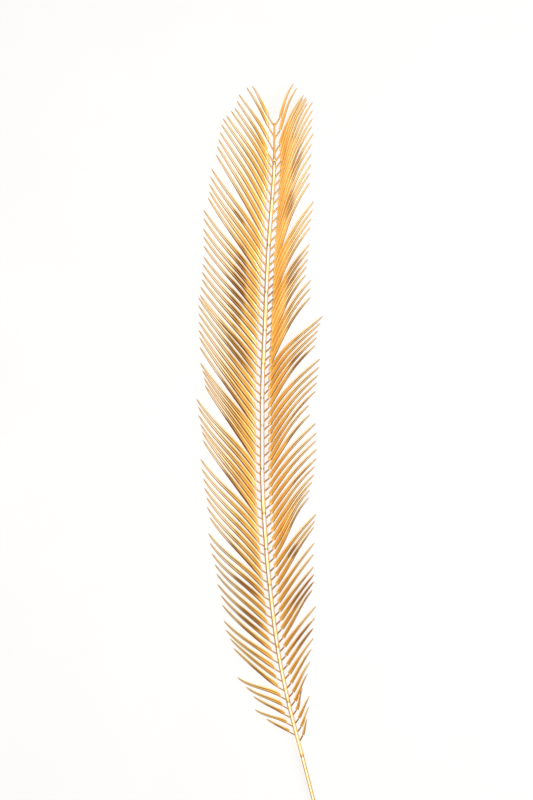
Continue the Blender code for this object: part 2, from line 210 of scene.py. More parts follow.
def along(knots, at):
    """The value at a place on the smooth curve through the knots, which never overshoots them."""
    at = min(max(at, knots[0][0]), knots[-1][0])
    steps = [(b[1] - a[1]) / (b[0] - a[0]) for a, b in zip(knots, knots[1:])]
    slopes = [steps[0]]
    for before, after in zip(steps, steps[1:]):
        same_way = before * after > 0
        slopes.append(2 * before * after / (before + after) if same_way else 0.0)
    slopes.append(steps[-1])
    i = next(k for k in range(len(steps)) if at <= knots[k + 1][0])
    (x0, v0), (x1, v1) = knots[i], knots[i + 1]
    length = x1 - x0
    t = (at - x0) / length
    return (v0 * (1 + 2 * t) * (1 - t) ** 2 + v1 * t * t * (3 - 2 * t)
            + length * (slopes[i] * t * (1 - t) ** 2 - slopes[i + 1] * t * t * (1 - t)))


def stem_point(y):
    return Vector((along(STEM_X, y), y, along(STEM_Z, y)))


def stem_direction(y):
    return (stem_point(min(y + 1, FORK_Y)) - stem_point(max(y - 1, 0))).normalized()


def heading(degrees, side):
    """A level unit vector turned that far outwards from +Y, to side 1 (right) or -1 (left)."""
    angle = math.radians(degrees)
    return Vector((side * math.sin(angle), math.cos(angle), 0))


def section_ends():
    """The Y of the two ends of each sleeve with leaflets, from the stem up."""
    return list(zip(JOINTS, JOINTS[1:]))


def pair_roots():
    """For each leafy section, the tip last, the Y of its leaflet pairs from the stem up."""
    roots = []
    for number, ((low, high), pairs) in enumerate(zip(section_ends(), PAIRS)):
        start = low + BARE_START if number == 0 else low
        pitch = (high - start) / pairs
        roots.append([start + pitch * (i + FIRST_PAIR) for i in range(pairs)])
    roots.append([JOINTS[-1] + rise for rise in TIP_ROOTS])
    return roots


def tip_reaches(tufts):
    """For each leaflet of one side: its reach outwards and along, and if it is a tuft's lowest."""
    reaches = []
    for count, lowest, topmost in tufts:
        for i in range(count):
            share = i / max(1, count - 1)
            reaches.append([a + (b - a) * share for a, b in zip(lowest, topmost)] + [i == 0])
    return reaches


def leaflets():
    """Every leaflet as a dict: its section, side, root Y, tip point, width and roll offset."""
    draw = random.Random(SEED)
    found = []
    for side, tufts in ((1, RIGHT_TUFTS), (-1, LEFT_TUFTS)):
        roots = [(section, y) for section, ys in enumerate(pair_roots()) for y in ys]
        if side < 0:
            roots = roots[1:]
        for (section, y), (out, rise, lowest) in zip(roots, tip_reaches(tufts)):
            root_y = y - (along(LEFT_STAGGER, y) if side < 0 else 0)
            axis = stem_point(root_y)
            tip = Vector((axis.x + side * (out + draw.uniform(-TIP_JITTER, TIP_JITTER)),
                          root_y + rise + draw.uniform(-TIP_JITTER, TIP_JITTER),
                          TIP_HEIGHT + max(0, draw.uniform(-TIPS_DOWN, TIP_SPREAD))))
            found.append({"section": section, "side": side, "y": root_y, "tip": tip,
                          "width": along(BLADE_WIDTH, y), "lowest": lowest,
                          "roll": draw.uniform(-ROLL_JITTER, ROLL_JITTER)})
    for number, leaf in enumerate(found):
        leaf["number"] = number
    return found


def bezier(points, t):
    a, b, c, d = points
    return a * (1 - t) ** 3 + b * 3 * t * (1 - t) ** 2 + c * 3 * t * t * (1 - t) + d * t ** 3


def axes_at(ahead, side, roll):
    """Unit vectors across the blade, towards its inner edge, and out of its upper face."""
    ahead = ahead.normalized()
    inner = Vector((-side * ahead.y, side * ahead.x, 0)).normalized()
    up = inner.cross(ahead) * side
    up = up if up.z > 0 else -up
    angle = math.radians(roll)
    return (inner * math.cos(angle) + up * math.sin(angle),
            up * math.cos(angle) - inner * math.sin(angle))


def blade_places():
    """Places along a blade, from 0 to 1, closer together at the shoulder and at the tip."""
    begun = SHOULDER_PLACES[-1]
    rest = BLADE_RINGS - len(SHOULDER_PLACES)
    return list(SHOULDER_PLACES) + [
        begun + (BLADE_END - begun) * math.sin(math.pi / 2 * (i + 1) / rest) ** CLOSER_TO_TIP
        for i in range(rest)]


class Skin:
    """A mesh in the making, whose points carry a row of marks each."""

    def __init__(self):
        self.points, self.faces, self.marks = [], [], []

    def ring(self, points, marks):
        first = len(self.points)
        self.points.extend(points)
        self.marks.extend(marks)
        return range(first, first + len(points))

    def bridge(self, ring, next_ring):
        count = len(ring)
        for k in range(count):
            after = (k + 1) % count
            self.faces.append((ring[k], ring[after], next_ring[after], next_ring[k]))

    def cap(self, ring, turned=False):
        self.faces.append(tuple(reversed(ring)) if turned else tuple(ring))

    def solid(self, rings):
        """Closes a row of (points, marks) rings with equal numbers of points."""
        rows = [self.ring(points, marks) for points, marks in rings]
        for row, next_row in zip(rows, rows[1:]):
            self.bridge(row, next_row)
        self.cap(rows[0], turned=True)
        self.cap(rows[-1])


def leaf_ring(centre, across, face, half_width, half_height, roundness, t, own_marks):
    """One ring and its marks: a circle at roundness 1, the ribbed blade section at 0."""
    points, marks = [], []
    for k, (v, h) in enumerate(UPPER_SIDE + LOWER_SIDE):
        circle = math.sin(math.acos(v)) * (1 if k < len(UPPER_SIDE) else -1)
        height = h + (circle - h) * roundness
        points.append(centre + across * (v * half_width) + face * (height * half_height))
        marks.append((t, v, *own_marks))
    return points, marks


def leaflet_rings(leaf):
    """The fine rings of one leaflet: round at the stalk, ribbed and keeled along the blade."""
    side, y, tip = leaf["side"], leaf["y"], leaf["tip"]
    shape = SHAPES[side]
    direction = stem_direction(y)
    lean = math.degrees(math.atan2(side * direction.x, direction.y))
    stalk_way = heading(along(shape["stalk_angle"], y) + lean, side)
    stalk_way.z = direction.z
    in_tip = y > JOINTS[-1] + TIP_RADII[3][0]
    surface = TIP_STEM_SURFACE if in_tip else along(SLEEVE_RADIUS, y)
    outwards = Vector((direction.y, -direction.x, 0)).normalized() * side
    foot = stem_point(y) + outwards * surface
    root = foot - stalk_way * STALK_SUNK
    shoulder = foot + stalk_way * along(shape["stalk"], y)
    reach = (tip - shoulder).length
    start = heading(along(shape["start"], y), side)
    end = heading(along(shape["end"], y), side)
    curve = (shoulder, shoulder + start * reach * START_PULL, tip - end * reach * END_PULL, tip)
    draw = random.Random(SEED * 1000 + leaf["number"])
    phase, tone = draw.random(), draw.random()
    own_marks = (tone, float(side), float(leaf["lowest"]))

    def blade_point(t):
        place = bezier(curve, t)
        wave = math.sin(2 * math.pi * (WAVES * t + phase)) * math.sin(math.pi * t)
        place.z = shoulder.z + (tip.z - shoulder.z) * t + ARCH * math.sin(math.pi * t)
        place.z += WAVER * wave
        return place

    rings = []
    across, face = axes_at(stalk_way, side, 0)
    for share in STALK_PLACES:
        flare = STALK_FLARE * max(0.0, FLARE_END - share)
        radius = STALK_RADIUS * (STALK_SLIMMED[side] + flare)
        rings.append(leaf_ring(root + (shoulder - root) * share, across, face, radius, radius, 1.0,
                               STALK_SHARE * (share - 1), own_marks))
    for t in blade_places():
        ahead = blade_point(min(1, t + 0.02)) - blade_point(max(0, t - 0.02))
        settle = min(1.0, t / SETTLED_AT)
        ahead = (ahead.normalized() * (0.5 + 0.5 * settle)
                 + stalk_way.normalized() * (0.5 - 0.5 * settle))
        turns = TWISTS * t + phase * TWIST_SHIFT
        twist = TWIST * math.sin(2 * math.pi * turns) * settle * (1 - t)
        roll = along(shape["roll"], t) + (leaf["roll"] + twist) * settle
        across, face = axes_at(ahead, side, roll)
        half_width = leaf["width"] * along(shape["outline"], t) / 2
        half_height = along(THICKNESS, t) / 2 * SHARE_OF_THICKNESS
        centre = blade_point(t) + across * (along(shape["offset"], t) * half_width)
        rings.append(leaf_ring(centre, across, face, half_width, half_height,
                               max(0.0, 1 - t / ROUND_UNTIL), t, own_marks))
    return rings


def tube_ring(y, radius, sides, ridges=0.0):
    """One ring round the stem line, with fine lengthwise ridges that high if asked."""
    centre = stem_point(y) if y >= 0 else stem_point(0) + stem_direction(0) * y
    ahead = stem_direction(max(y, 0))
    across = Vector((ahead.y, -ahead.x, 0)).normalized()
    up = across.cross(ahead)
    ring = []
    for k in range(sides):
        angle = 2 * math.pi * (k + 0.5) / sides
        rim = radius + ridges * math.cos(angle * STEM_LINES)
        ring.append(centre + (across * math.cos(angle) + up * math.sin(angle)) * rim)
    return ring


def sleeve_marks(place=SLEEVE_MARK, tone=SLEEVE_TONE):
    return [(place, 2 * k / SLEEVE_SIDES - 1, tone, 0.0, 0.0) for k in range(SLEEVE_SIDES)]


def sleeve(skin, stations, bore_low, bore_high, ridges=0.0, closed_top=False, rimmed=False,
           tone=SLEEVE_TONE, slim_from=FORK_Y):
    """A bored sleeve: its outside through (Y, radius) stations, and the bore's own wall."""
    rows = []
    for number, (y, radius) in enumerate(stations):
        marks = sleeve_marks(RIM_MARK if rimmed and number < RIM_RINGS else SLEEVE_MARK,
                             SLIM_TONE if y > slim_from else tone)
        rows.append(skin.ring(tube_ring(y, radius, SLEEVE_SIDES, ridges), marks))
    for row, next_row in zip(rows, rows[1:]):
        skin.bridge(row, next_row)
    bore = [skin.ring(tube_ring(bore_low + (bore_high - bore_low) * i / 4, BORE_RADIUS,
                                SLEEVE_SIDES), sleeve_marks()) for i in range(5)]
    for row, next_row in zip(bore, bore[1:]):
        skin.bridge(list(reversed(row)), list(reversed(next_row)))
    skin.bridge(list(reversed(rows[0])), list(reversed(bore[0])))
    if closed_top:
        skin.cap(rows[-1])
        skin.cap(bore[-1], turned=True)
    else:
        skin.bridge(rows[-1], bore[-1])


def sleeve_profile(low, high, radius_at, rings):
    """(Y, radius) along a sleeve with rounded rims and a slightly slimmer middle."""
    low, high = low + JOINT_GAP / 2, high - JOINT_GAP / 2
    rim = END_CHAMFER
    stations = []
    for k in range(4):
        angle = math.pi / 2 * k / 3
        stations.append((low + rim * (1 - math.cos(angle)),
                         radius_at(low) - rim + rim * math.sin(angle)))
    stations.append((low + rim + RIM_LAND, radius_at(low)))
    for i in range(1, rings):
        y = low + rim + (high - low - 2 * rim) * i / rings
        stations.append((y, radius_at(y) - SLEEVE_WAIST * math.sin(math.pi * i / rings)))
    for k in range(3, -1, -1):
        angle = math.pi / 2 * k / 3
        stations.append((high - rim * (1 - math.cos(angle)),
                         radius_at(high) - rim + rim * math.sin(angle)))
    return stations


def corner_shift():
    """How far the frame's axes lie from the stem line's own, read off the wire's lower end."""
    ring = tube_ring(0, WIRE_RADIUS, WIRE_SIDES)
    low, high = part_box("core_wire")
    return Vector((high.x / METRES - max(p.x for p in ring),
                   low.y / METRES - min(p.y for p in ring),
                   low.z / METRES - min(p.z for p in ring)))


SHIFT = corner_shift()


def piece_from(skin, name):
    """A linked object in metres, in the frame's axes, smooth but for its sharp rims."""
    data = bpy.data.meshes.new(name)
    data.from_pydata([tuple((p + SHIFT) * METRES) for p in skin.points], [], skin.faces)
    for column, label in enumerate(LABELS):
        mark = data.attributes.new(label, "FLOAT", "POINT")
        mark.data.foreach_set("value", [row[column] for row in skin.marks])
    made = bmesh.new()
    made.from_mesh(data)
    bmesh.ops.triangulate(made, faces=[f for f in made.faces if len(f.verts) > 4])
    bmesh.ops.recalc_face_normals(made, faces=made.faces)
    made.to_mesh(data)
    made.free()
    data.shade_smooth()
    data.set_sharp_from_angle(angle=math.radians(SHARP_FROM))
    piece = bpy.data.objects.new(name, data)
    bpy.context.scene.collection.objects.link(piece)
    return piece


# Materials: shader helpers

def new_material(name):
    made = bpy.data.materials.new(name)
    made.use_nodes = True
    return made, made.node_tree, made.node_tree.nodes["Principled BSDF"]


def add(tree, kind, **settings):
    node = tree.nodes.new(kind)
    for key, value in settings.items():
        if key in node.inputs:
            node.inputs[key].default_value = value
        else:
            setattr(node, key, value)
    return node


def mark(tree, name):
    return add(tree, "ShaderNodeAttribute", attribute_name=name).outputs["Fac"]


def maths(tree, operation, first, second=0.0, clamp=False):
    node = add(tree, "ShaderNodeMath", operation=operation, use_clamp=clamp)
    for socket, value in zip(node.inputs, (first, second)):
        if isinstance(value, (int, float)):
            socket.default_value = value
        else:
            tree.links.new(value, socket)
    return node.outputs[0]


def plus(tree, first, second, clamp=False):
    return maths(tree, "ADD", first, second, clamp)


def times(tree, first, *others):
    for other in others:
        first = maths(tree, "MULTIPLY", first, other)
    return first


def less(tree, share):
    """What a share leaves of the whole."""
    return maths(tree, "SUBTRACT", 1.0, share)


def ramp(tree, factor, stops):
    node = add(tree, "ShaderNodeValToRGB")
    elements = node.color_ramp.elements
    while len(elements) < len(stops):
        elements.new(0.5)
    for element, (place, colour) in zip(elements, stops):
        element.position = place
        element.color = (*colour, 1.0)
    tree.links.new(factor, node.inputs["Fac"])
    return node.outputs["Color"]


def mix(tree, factor, first, second, blend="MIX"):
    """Blends two colours, where a plain colour is given as its red, green and blue."""
    node = add(tree, "ShaderNodeMix", data_type="RGBA", blend_type=blend)
    sockets = (node.inputs[0], node.inputs[6], node.inputs[7])
    for socket, value in zip(sockets, (factor, first, second)):
        if isinstance(value, tuple):
            socket.default_value = (*value, 1.0)
        elif isinstance(value, (int, float)):
            socket.default_value = value
        else:
            tree.links.new(value, socket)
    return node.outputs[2]


def noise_of(tree, vector, scale, detail=3.0, roughness=0.55):
    node = add(tree, "ShaderNodeTexNoise", Scale=scale, Detail=detail, Roughness=roughness)
    tree.links.new(vector, node.inputs["Vector"])
    return node.outputs["Fac"]


def smooth_step(tree, value, none_at, full_at):
    node = add(tree, "ShaderNodeMapRange", interpolation_type="SMOOTHSTEP")
    node.inputs["From Min"].default_value = none_at
    node.inputs["From Max"].default_value = full_at
    tree.links.new(value, node.inputs["Value"])
    return node.outputs[0]


def band(tree, place, stops):
    """A grey ramp read as a number."""
    return plus(tree, ramp(tree, place, [(at, (value,) * 3) for at, value in stops]), 0.0)


def bumped(tree, shader, height, strength, distance):
    bump = add(tree, "ShaderNodeBump", Strength=strength, Distance=distance)
    tree.links.new(height, bump.inputs["Height"])
    tree.links.new(bump.outputs[0], shader.inputs["Normal"])


class Places:
    """Where a shaded point lies: on its leaflet or sleeve, and on the whole frond."""

    def __init__(self, tree):
        self.t, self.v, self.tone, self.side, self.lowest = (mark(tree, label) for label in LABELS)
        self.on_leaf = maths(tree, "ABSOLUTE", self.side)
        self.on_right = smooth_step(tree, self.side, 0.4, 0.6)
        self.across = times(tree, plus(tree, self.v, 1.0), 0.5)
        self.place = add(tree, "ShaderNodeTexCoord").outputs["Object"]
        parts = add(tree, "ShaderNodeSeparateXYZ")
        tree.links.new(self.place, parts.inputs[0])
        self.x, self.y = parts.outputs["X"], parts.outputs["Y"]
        lane = add(tree, "ShaderNodeCombineXYZ")
        for value, stretch, socket in zip((self.t, self.v, self.tone), LANE_STRETCH, lane.inputs):
            tree.links.new(times(tree, value, stretch), socket)
        self.lane = lane.outputs[0]
        self.streaks = noise_of(tree, self.lane, STREAK_SCALE)
        self.blotch = noise_of(tree, self.place, BLOTCH_SCALE, 1.5)
        self.grain = noise_of(tree, self.place, GRAIN_SCALE, 2.0)


def offsets(tree, at, x, y):
    """How far a point lies from a place on the stem line's plan, along X and along Y, in metres."""
    middle = (Vector((x, y, 0)) + SHIFT) * METRES
    return maths(tree, "SUBTRACT", at.x, middle.x), maths(tree, "SUBTRACT", at.y, middle.y)


def hypotenuse(tree, first, second):
    return maths(tree, "SQRT", plus(tree, times(tree, first, first), times(tree, second, second)))


# Materials: gold

# Noise: in each leaflet's own lane (along, across, own tone), and over the frond in metres
LANE_STRETCH = (5.0, 2.0, 40.0)
STREAK_SCALE = 1.6
FINE_LINE_SCALE = 9.0
BLOTCH_SCALE = 30.0
GRAIN_SCALE = 2600.0

# Tones along a leaflet: the stalk's, then those of the blade from its shoulder (0) to its tip (1).
# Body tones are for the blade's faces, with painted reflection of the light in their pale stretches
# on the outer half; line tones are painted shade, for its outer edge and its middle groove.
STALK_END = 0.085
LEFT_BODY = ((0.54, 0.25, 0.032), (
    (0.01, (0.70, 0.35, 0.06)), (0.2, (0.84, 0.44, 0.085)), (0.42, (0.98, 0.58, 0.17)),
    (0.56, (1.0, 0.82, 0.46)), (0.72, (1.0, 0.93, 0.74)), (0.9, (1.0, 0.84, 0.56)),
    (1.0, (0.52, 0.24, 0.05))))
LOW_LEFT_BODY = ((0.54, 0.25, 0.032), (
    (0.01, (0.78, 0.38, 0.06)), (0.25, (0.96, 0.50, 0.11)), (0.5, (1.0, 0.62, 0.20)),
    (0.8, (1.0, 0.70, 0.31)), (1.0, (0.90, 0.56, 0.22))))
RIGHT_BODY = ((0.36, 0.15, 0.015), (
    (0.01, (0.74, 0.39, 0.07)), (0.25, (0.76, 0.35, 0.05)), (0.46, (0.92, 0.51, 0.14)),
    (0.62, (1.0, 0.72, 0.36)), (0.92, (1.0, 0.78, 0.46)), (1.0, (0.52, 0.24, 0.06))))
LEFT_LINE = ((0.34, 0.15, 0.02), (
    (0.01, (0.32, 0.11, 0.01)), (0.3, (0.18, 0.055, 0.005)), (0.5, (0.24, 0.08, 0.007)),
    (0.7, (0.48, 0.18, 0.018)), (0.92, (0.50, 0.19, 0.02)), (1.0, (0.36, 0.13, 0.02))))
RIGHT_LINE = ((0.24, 0.09, 0.009), (
    (0.01, (0.32, 0.11, 0.01)), (0.45, (0.22, 0.07, 0.008)), (0.6, (0.13, 0.04, 0.005)),
    (1.0, (0.20, 0.065, 0.008))))

# Tones that take over in places
UPPER_LINE = (0.54, 0.24, 0.035)
UPPER_STALK = (0.80, 0.44, 0.08)
UPPER_STALK_LINE = (0.70, 0.36, 0.06)
CROWDED_LINE = (0.72, 0.36, 0.06)
LOWER_LINE = (0.09, 0.027, 0.003)
# painted dark reflection and shade, in the leaflets' dark windows and in the shared patches
DARK_LINE = (0.06, 0.018, 0.003)
DARK_BODY = (0.56, 0.20, 0.02)
DARK_REFLECTION_BODY = (0.24, 0.072, 0.005)
# painted shade along the outer edge of a tuft's lowest leaflet
LOWEST_SHADE = (0.21, 0.065, 0.008)
# painted highlight on the inner rim, on the half nearer the stem
RIM_HIGHLIGHT = (1.0, 0.80, 0.46)
INNER_EDGE = (0.84, 0.46, 0.14)
SLIM_STEM = (0.60, 0.31, 0.08)
SLEEVE_RIM = (0.66, 0.32, 0.08)
# painted shade inside the drilled hole
HOLE_SHADE = (0.10, 0.03, 0.004)

# Where along the frond, in the frame's Y in metres, each of them begins and where it is in full
UPPER_Y = (0.18, 0.28)
CROWDED_Y = (0.12, 0.2)
LOW_BODY_Y = (-0.04, -0.2)
LOW_WINDOW_Y = (-0.02, -0.08)
LOW_LINE_Y = (-0.02, -0.1)
LOWEST_Y = (-0.16, -0.2)

# Shares along a leaflet, from its shoulder (0) to its tip (1)
# the windows say where along a leaflet its own painted dark reflection and shade lie
LEFT_WINDOW = ((0.0, 0.0), (0.24, 0.05), (0.34, 0.95), (0.52, 0.9), (0.62, 0.1), (1.0, 0.0))
LOW_LEFT_WINDOW = ((0.0, 0.0), (0.28, 0.1), (0.42, 1.0), (0.78, 1.0), (0.92, 0.2), (1.0, 0.1))
RIGHT_WINDOW = ((0.0, 0.0), (0.42, 0.1), (0.58, 0.95), (0.85, 0.9), (1.0, 0.1))
GROOVE_ALONG = ((0.0, 0.1), (0.2, 0.2), (0.4, 0.45), (0.6, 0.8), (0.95, 0.85), (1.0, 0.5))
LEFT_LOWEST = ((0.0, 0.0), (0.12, 0.1), (0.2, 1.0), (0.55, 1.0), (0.66, 0.0), (1.0, 0.0))
RIGHT_LOWEST = ((0.0, 0.0), (0.42, 0.0), (0.52, 0.9), (0.75, 0.9), (0.9, 0.0), (1.0, 0.0))
RIM_HIGHLIGHT_ALONG = ((0.0, 0.0), (0.05, 0.0), (0.2, 0.2), (0.4, 0.3), (0.5, 0.0), (1.0, 0.0))
INNER_EDGE_ALONG = ((0.0, 0.0), (0.5, 0.0), (0.62, 0.6), (1.0, 0.6))

# Shares across a leaflet, from its outer edge (0) to its inner edge (1)
OUTER_LINE_ACROSS = ((0.0, 1.0), (0.22, 1.0), (0.26, 0.0), (1.0, 0.0))
GROOVE_ACROSS = ((0.0, 0.0), (0.44, 0.0), (0.47, 1.0), (0.68, 1.0), (0.71, 0.0), (1.0, 0.0))
LOWEST_ACROSS = ((0.0, 1.0), (0.34, 1.0), (0.44, 0.0), (1.0, 0.0))
RIM_HIGHLIGHT_ACROSS = ((0.0, 0.0), (0.92, 0.0), (0.95, 1.0), (1.0, 1.0))
INNER_EDGE_ACROSS = ((0.0, 0.0), (0.84, 0.0), (0.88, 1.0), (1.0, 1.0))

# Tones round a sleeve and round the bare stem, from its top (0) to its underside (1): a painted
# highlight along the top and painted shade towards the underside
SLEEVE_HIGHLIGHT_AND_SHADE = (
    (0.0, (1.0, 0.82, 0.54)), (0.045, (0.96, 0.72, 0.40)), (0.09, (0.90, 0.58, 0.25)),
    (0.2, (0.92, 0.58, 0.24)), (0.32, (1.0, 0.60, 0.24)), (0.5, (1.0, 0.52, 0.17)),
    (1.0, (0.74, 0.36, 0.10)))
BARE_HIGHLIGHT_AND_SHADE = (
    (0.0, (1.0, 0.82, 0.46)), (0.08, (1.0, 0.76, 0.38)), (0.16, (0.90, 0.50, 0.15)),
    (0.3, (0.62, 0.28, 0.06)), (0.5, (0.50, 0.21, 0.04)), (1.0, (0.50, 0.21, 0.04)))


def leaf_tones(tree, at, tones):
    """A colour along one leaflet: the stalk's up to its shoulder, then the blade's."""
    stalk, stops = tones
    whole = 1 + STALK_SHARE
    place = times(tree, plus(tree, at.t, STALK_SHARE), 1 / whole)
    blade = [((along_it + STALK_SHARE) / whole, colour) for along_it, colour in stops]
    return ramp(tree, place, [(0.0, stalk), (STALK_END, stalk)] + blade)


def dark_reflection_patches(tree, at):
    """How far a point lies in a patch of painted dark reflection and shade, streaky towards its
    rim.
    """
    total = 0.0
    for x, y, length, width, turn, strength in DARK_REFLECTION_PATCHES:
        off_x, off_y = offsets(tree, at, x, y)
        shares = []
        for ahead, size in ((heading(turn, 1), length), (heading(turn + 90, 1), width)):
            shares.append(plus(tree, times(tree, off_x, ahead.x / (size * METRES)),
                               times(tree, off_y, ahead.y / (size * METRES))))
        far = plus(tree, hypotenuse(tree, *shares), times(tree, at.streaks, -0.6))
        inside = times(tree, smooth_step(tree, far, 0.95, 0.25), strength)
        total = maths(tree, "MAXIMUM", total, inside)
    return total


def dark_shares(tree, at, upper):
    """How far painted dark reflection and shade darken a leaflet at a point, and the shared
    patches' part.
    """
    left = mix(tree, smooth_step(tree, at.y, *LOW_WINDOW_Y), band(tree, at.t, LEFT_WINDOW),
               band(tree, at.t, LOW_LEFT_WINDOW))
    window = mix(tree, at.on_right, left, band(tree, at.t, RIGHT_WINDOW))
    blots = smooth_step(tree, plus(tree, at.blotch, times(tree, at.streaks, 0.5)), 0.6, 0.8)
    lowest = times(tree, smooth_step(tree, at.y, *LOWEST_Y), 0.7)
    own = times(tree, window, less(tree, upper), blots, less(tree, lowest))
    patches = dark_reflection_patches(tree, at)
    return plus(tree, times(tree, own, 0.55), patches, clamp=True), patches


def blade_tone(tree, at):
    """Gold faces with brown lines of painted shade along the outer edge and the middle groove."""
    upper = times(tree, smooth_step(tree, at.y, *UPPER_Y), 0.65)
    lower = smooth_step(tree, at.y, *LOW_LINE_Y)
    dark, patches = dark_shares(tree, at, upper)

    # the body tones' pale stretches on the outer half are painted reflection of the light
    left_body = mix(tree, smooth_step(tree, at.y, *LOW_BODY_Y), leaf_tones(tree, at, LEFT_BODY),
                    leaf_tones(tree, at, LOW_LEFT_BODY))
    body = mix(tree, at.on_right, left_body, leaf_tones(tree, at, RIGHT_BODY))
    line = mix(tree, at.on_right, leaf_tones(tree, at, LEFT_LINE), leaf_tones(tree, at, RIGHT_LINE))
    line = mix(tree, upper, line, UPPER_LINE)
    upper_stalk = times(tree, smooth_step(tree, at.t, 0.0, -0.01), upper)
    body = mix(tree, upper_stalk, body, UPPER_STALK)
    line = mix(tree, upper_stalk, line, UPPER_STALK_LINE)

    # painted dark reflection and shade: the dark windows and shared patches darken lines and body
    line = mix(tree, dark, line, DARK_LINE)
    body = mix(tree, times(tree, dark, 0.3), body, DARK_BODY)
    body = mix(tree, times(tree, patches, 0.65), body, DARK_REFLECTION_BODY)
    crowded = times(tree, smooth_step(tree, at.y, *CROWDED_Y), at.on_right,
                    smooth_step(tree, at.t, 0.55, 0.35), smooth_step(tree, at.t, 0.0, 0.02))
    line = mix(tree, times(tree, crowded, 0.75), line, CROWDED_LINE)
    line = mix(tree, times(tree, lower, 0.8), line, LOWER_LINE)

    # painted shade in the middle groove, deeper in the dark windows and low on the frond, with the
    # outer edge's line of painted shade
    deeper = plus(tree, times(tree, dark, 0.7), times(tree, lower, 0.45))
    depth = plus(tree, band(tree, at.t, GROOVE_ALONG), deeper, clamp=True)
    groove = times(tree, band(tree, at.across, GROOVE_ACROSS), depth)
    lines = plus(tree, band(tree, at.across, OUTER_LINE_ACROSS), groove, clamp=True)
    streaky = times(tree, smooth_step(tree, at.streaks, 0.52, 0.75), 0.2)
    blade = mix(tree, plus(tree, lines, streaky, clamp=True), body, line)

    # a broad band of painted shade along the outer edge of the lowest leaflet of a tuft
    lowest = mix(tree, at.on_right, band(tree, at.t, LEFT_LOWEST), band(tree, at.t, RIGHT_LOWEST))
    lowest = times(tree, lowest, at.lowest, band(tree, at.across, LOWEST_ACROSS), less(tree, upper))
    blade = mix(tree, lowest, blade, LOWEST_SHADE)

    # the inner edge: a painted highlight as a pale rim on the half nearer the stem, and a gold line
    # beyond it
    for tone, share_along, share_across in ((RIM_HIGHLIGHT, RIM_HIGHLIGHT_ALONG, RIM_HIGHLIGHT_ACROSS),
                                            (INNER_EDGE, INNER_EDGE_ALONG, INNER_EDGE_ACROSS)):
        share = times(tree, band(tree, at.t, share_along), band(tree, at.across, share_across))
        blade = mix(tree, share, blade, tone)
    return blade


def sleeve_tone(tree, at):
    """Painted near white highlight on top, orange gold flanks, painted shade below and in the hole,
    deeper rims.
    """
    from_top = maths(tree, "ABSOLUTE", plus(tree, at.v, 0.5))
    slim = smooth_step(tree, at.tone, 0.15, 0.05)
    bare = mix(tree, slim, ramp(tree, from_top, BARE_HIGHLIGHT_AND_SHADE), SLIM_STEM)
    on_bare = smooth_step(tree, at.tone, 0.45, 0.3)
    # painted highlight along the top of each sleeve and of the bare stem, painted shade towards the
    # underside
    tone = mix(tree, on_bare, ramp(tree, from_top, SLEEVE_HIGHLIGHT_AND_SHADE), bare)
    tone = mix(tree, smooth_step(tree, times(tree, at.t, -1.0), 0.55, 0.7), tone, SLEEVE_RIM)
    # painted shade inside the drilled hole
    hole = stem_point(JOINTS[-1] + HOLE_RISE)
    far = hypotenuse(tree, *offsets(tree, at, hole.x, hole.y))
    radius = HOLE_RADIUS * METRES
    return mix(tree, smooth_step(tree, far, radius * 1.5, radius * 1.2), tone, HOLE_SHADE)


def gold_material():
    """Metallised gold on moulded plastic, with a fine grain, faint moulding lines and painted light
    and shade.
    """
    made, tree, shader = new_material("gold_finish")
    at = Places(tree)
    whole = mix(tree, at.on_leaf, sleeve_tone(tree, at), blade_tone(tree, at))
    speck = ramp(tree, at.grain, ((0.3, (0.96, 0.95, 0.93)), (0.7, (1.0, 1.0, 1.0))))
    tree.links.new(mix(tree, 1.0, whole, speck, "MULTIPLY"), shader.inputs["Base Color"])
    rough = plus(tree, times(tree, at.blotch, 0.16), 0.42)
    tree.links.new(rough, shader.inputs["Roughness"])
    on_stalk = times(tree, smooth_step(tree, at.t, 0.01, -0.01),
                     smooth_step(tree, at.on_leaf, 0.4, 0.6))
    on_sleeve = smooth_step(tree, at.on_leaf, 0.6, 0.4)
    metal = plus(tree, plus(tree, times(tree, on_stalk, 0.8), 0.2), times(tree, on_sleeve, 0.35))
    tree.links.new(metal, shader.inputs["Metallic"])
    shader.inputs["Coat Weight"].default_value = 0.2
    shader.inputs["Coat Roughness"].default_value = 0.2
    fine_lines = noise_of(tree, at.lane, FINE_LINE_SCALE, 2.0)
    bumped(tree, shader, plus(tree, fine_lines, times(tree, at.grain, 0.3)), 0.25, 0.0002)
    return made


# Materials: wire and floor

WIRE_STRETCH = (2500, 60, 2500)
# Painted shade on the wire's upper end, in the tip's socket: how far below the last joint it
# starts, and its colour
SOCKET_SHADE_REACH = 4.0
SOCKET_SHADE = (0.05, 0.022, 0.01)


